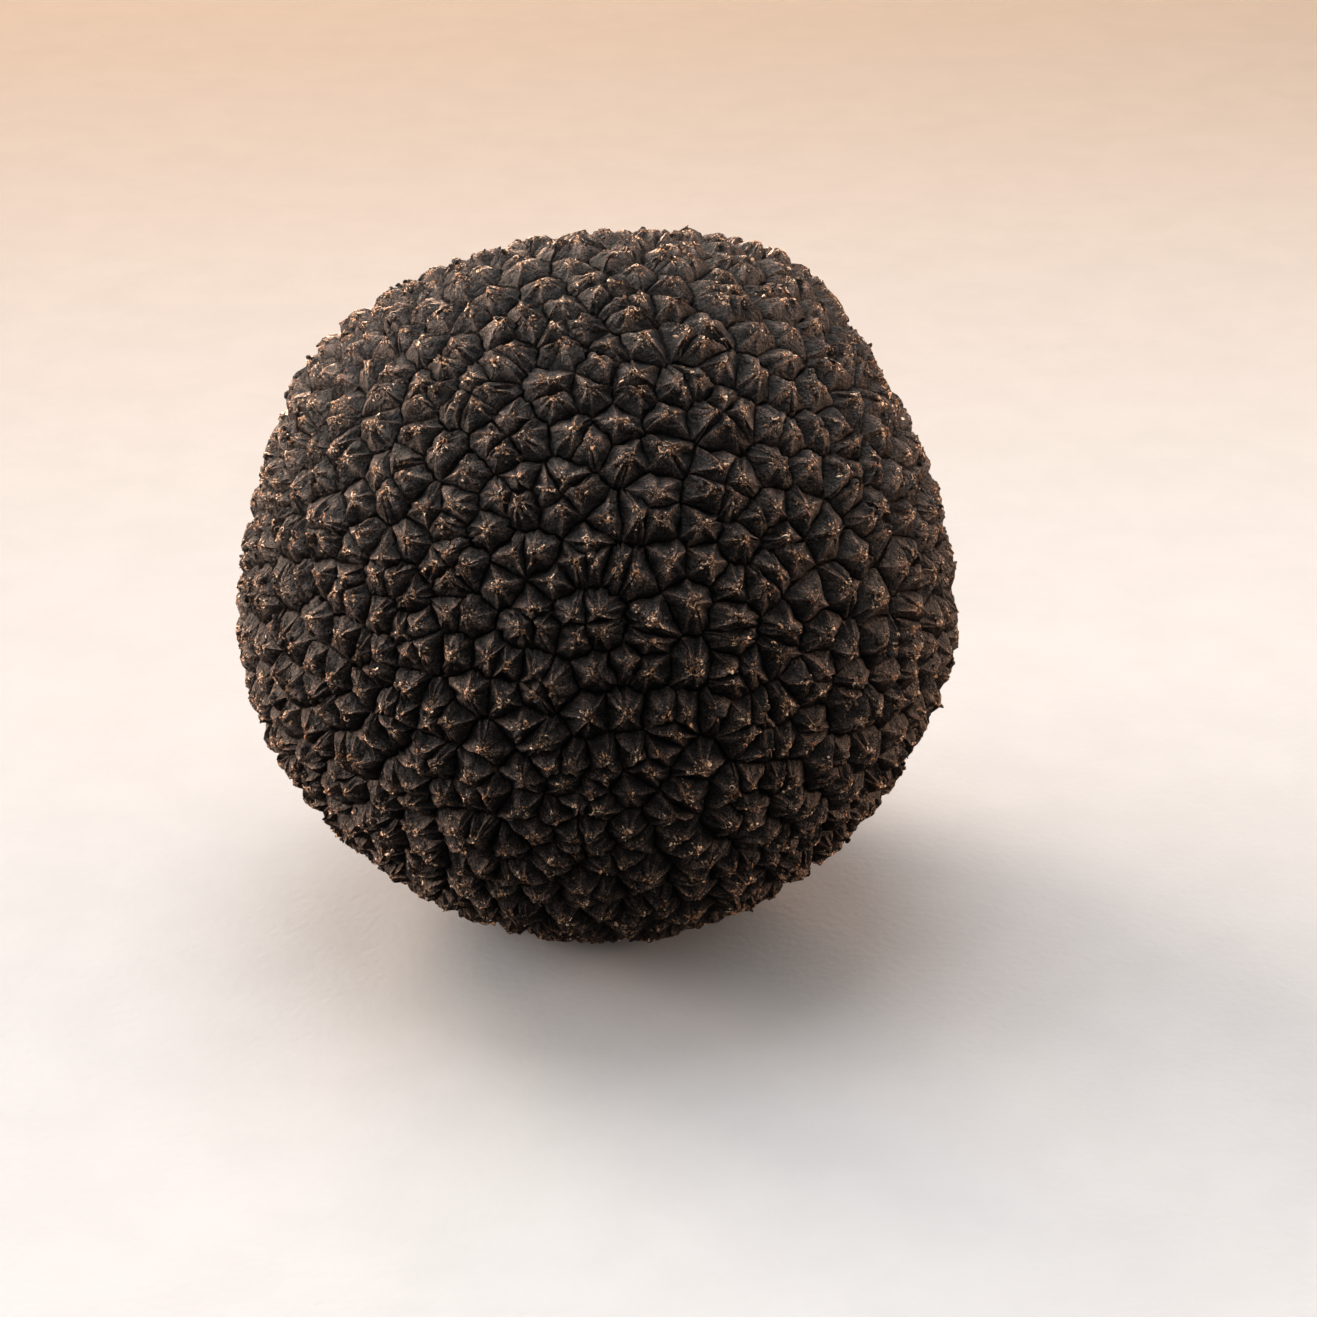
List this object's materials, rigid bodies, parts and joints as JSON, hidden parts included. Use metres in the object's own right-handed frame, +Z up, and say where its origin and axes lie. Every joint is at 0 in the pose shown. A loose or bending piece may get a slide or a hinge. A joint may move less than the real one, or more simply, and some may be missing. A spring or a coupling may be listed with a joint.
{
  "type": "black truffle",
  "caption": "Whole black truffle: a round, lumpy fruiting body covered in small many-sided pyramid warts, resting on its flattened lowest wart tips.",
  "frame": {"origin": "middle of the bounding box, in the plane of the pressed wart tips it rests on", "axes": "+Z up; +X along the body's greatest width; the raised crown leans towards +X"},
  "size_m": [0.0606, 0.0582, 0.0592],
  "materials": {
    "skin": "satin"
  },
  "bodies": {
    "root": {"truffle": "skin"}
  },
  "joints": []
}
